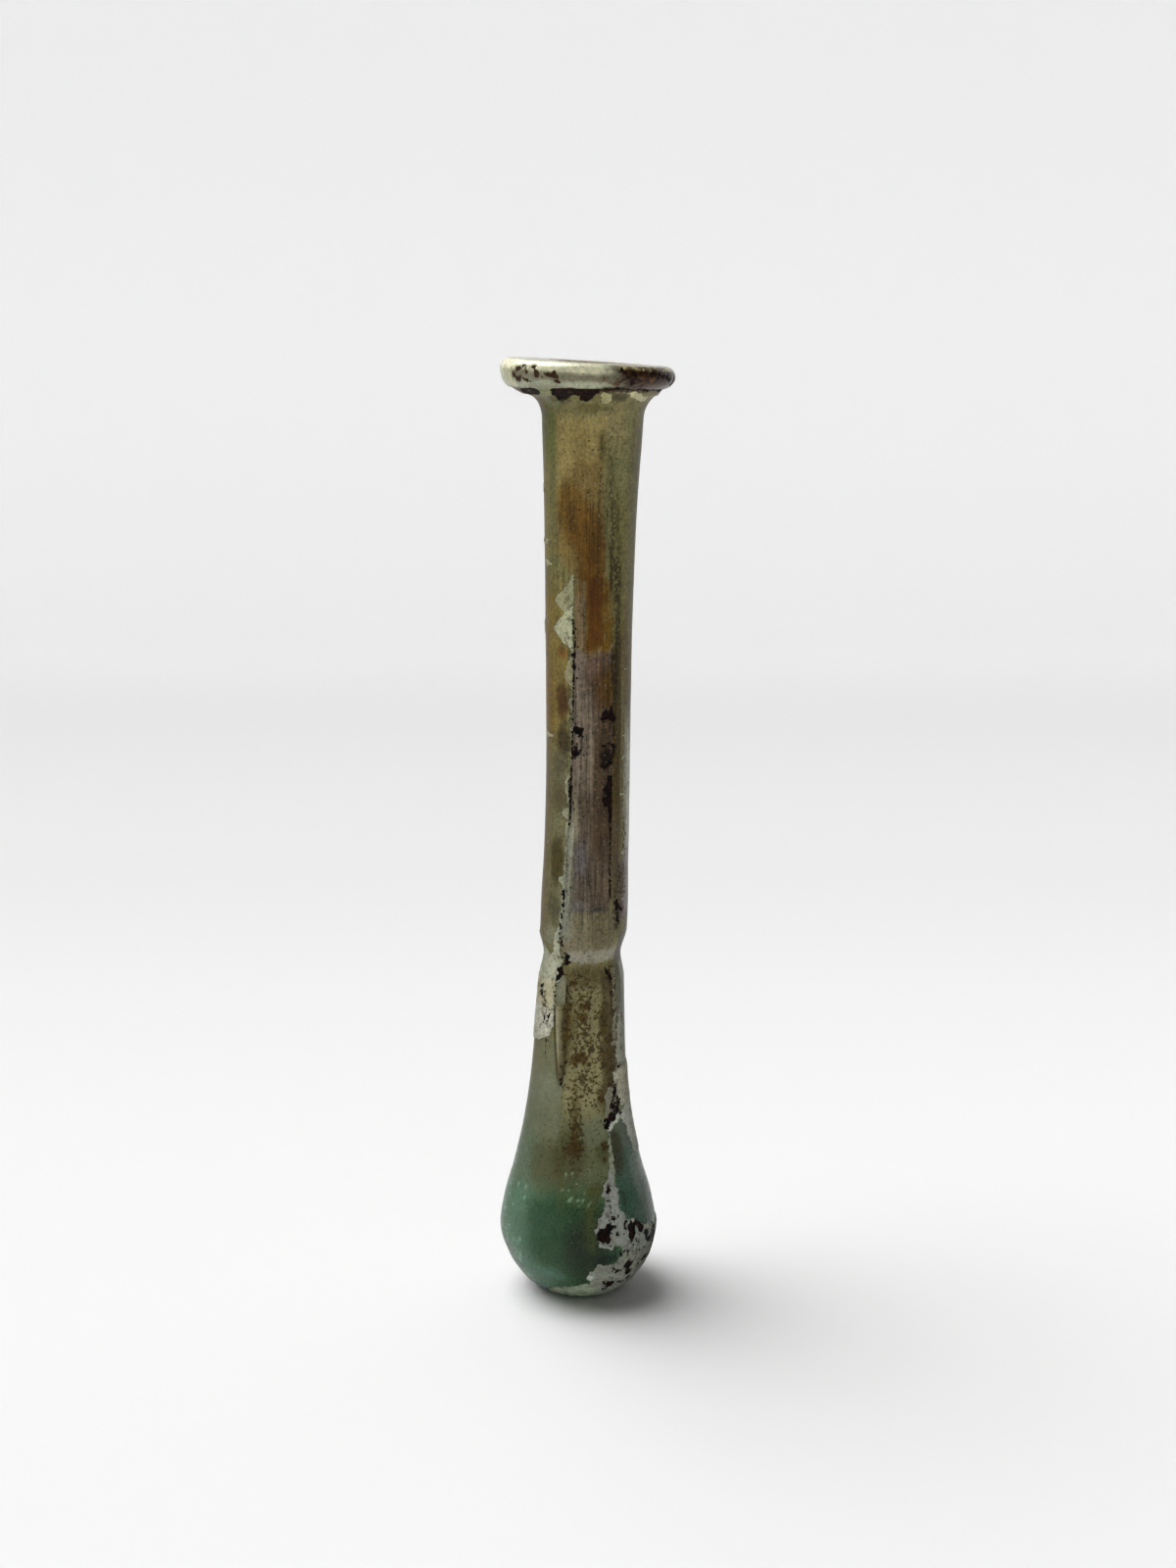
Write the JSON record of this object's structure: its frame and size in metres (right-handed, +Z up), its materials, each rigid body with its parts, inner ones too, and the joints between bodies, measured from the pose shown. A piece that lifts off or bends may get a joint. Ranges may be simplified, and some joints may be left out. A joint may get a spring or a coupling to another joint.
{
  "type": "roman glass unguentarium",
  "caption": "Free-blown tubular glass perfume bottle: small drop-shaped body on a flattened base, pinched waist, long slender neck and a folded, flattened rim; weathered glass.",
  "frame": {"origin": "centre of the flattened base, on the surface the vessel stands on", "axes": "+Z up along the vessel, +X to the low side of the tilted rim, -Y towards the viewer of the flaked side"},
  "size_m": [0.024, 0.023, 0.1305],
  "materials": {
    "weathered_glass": "blue-green blown glass under brown, mauve and cream weathering films, with flaking crust and dark pits"
  },
  "bodies": {
    "root": {"glass_vessel": "weathered_glass"}
  },
  "joints": []
}
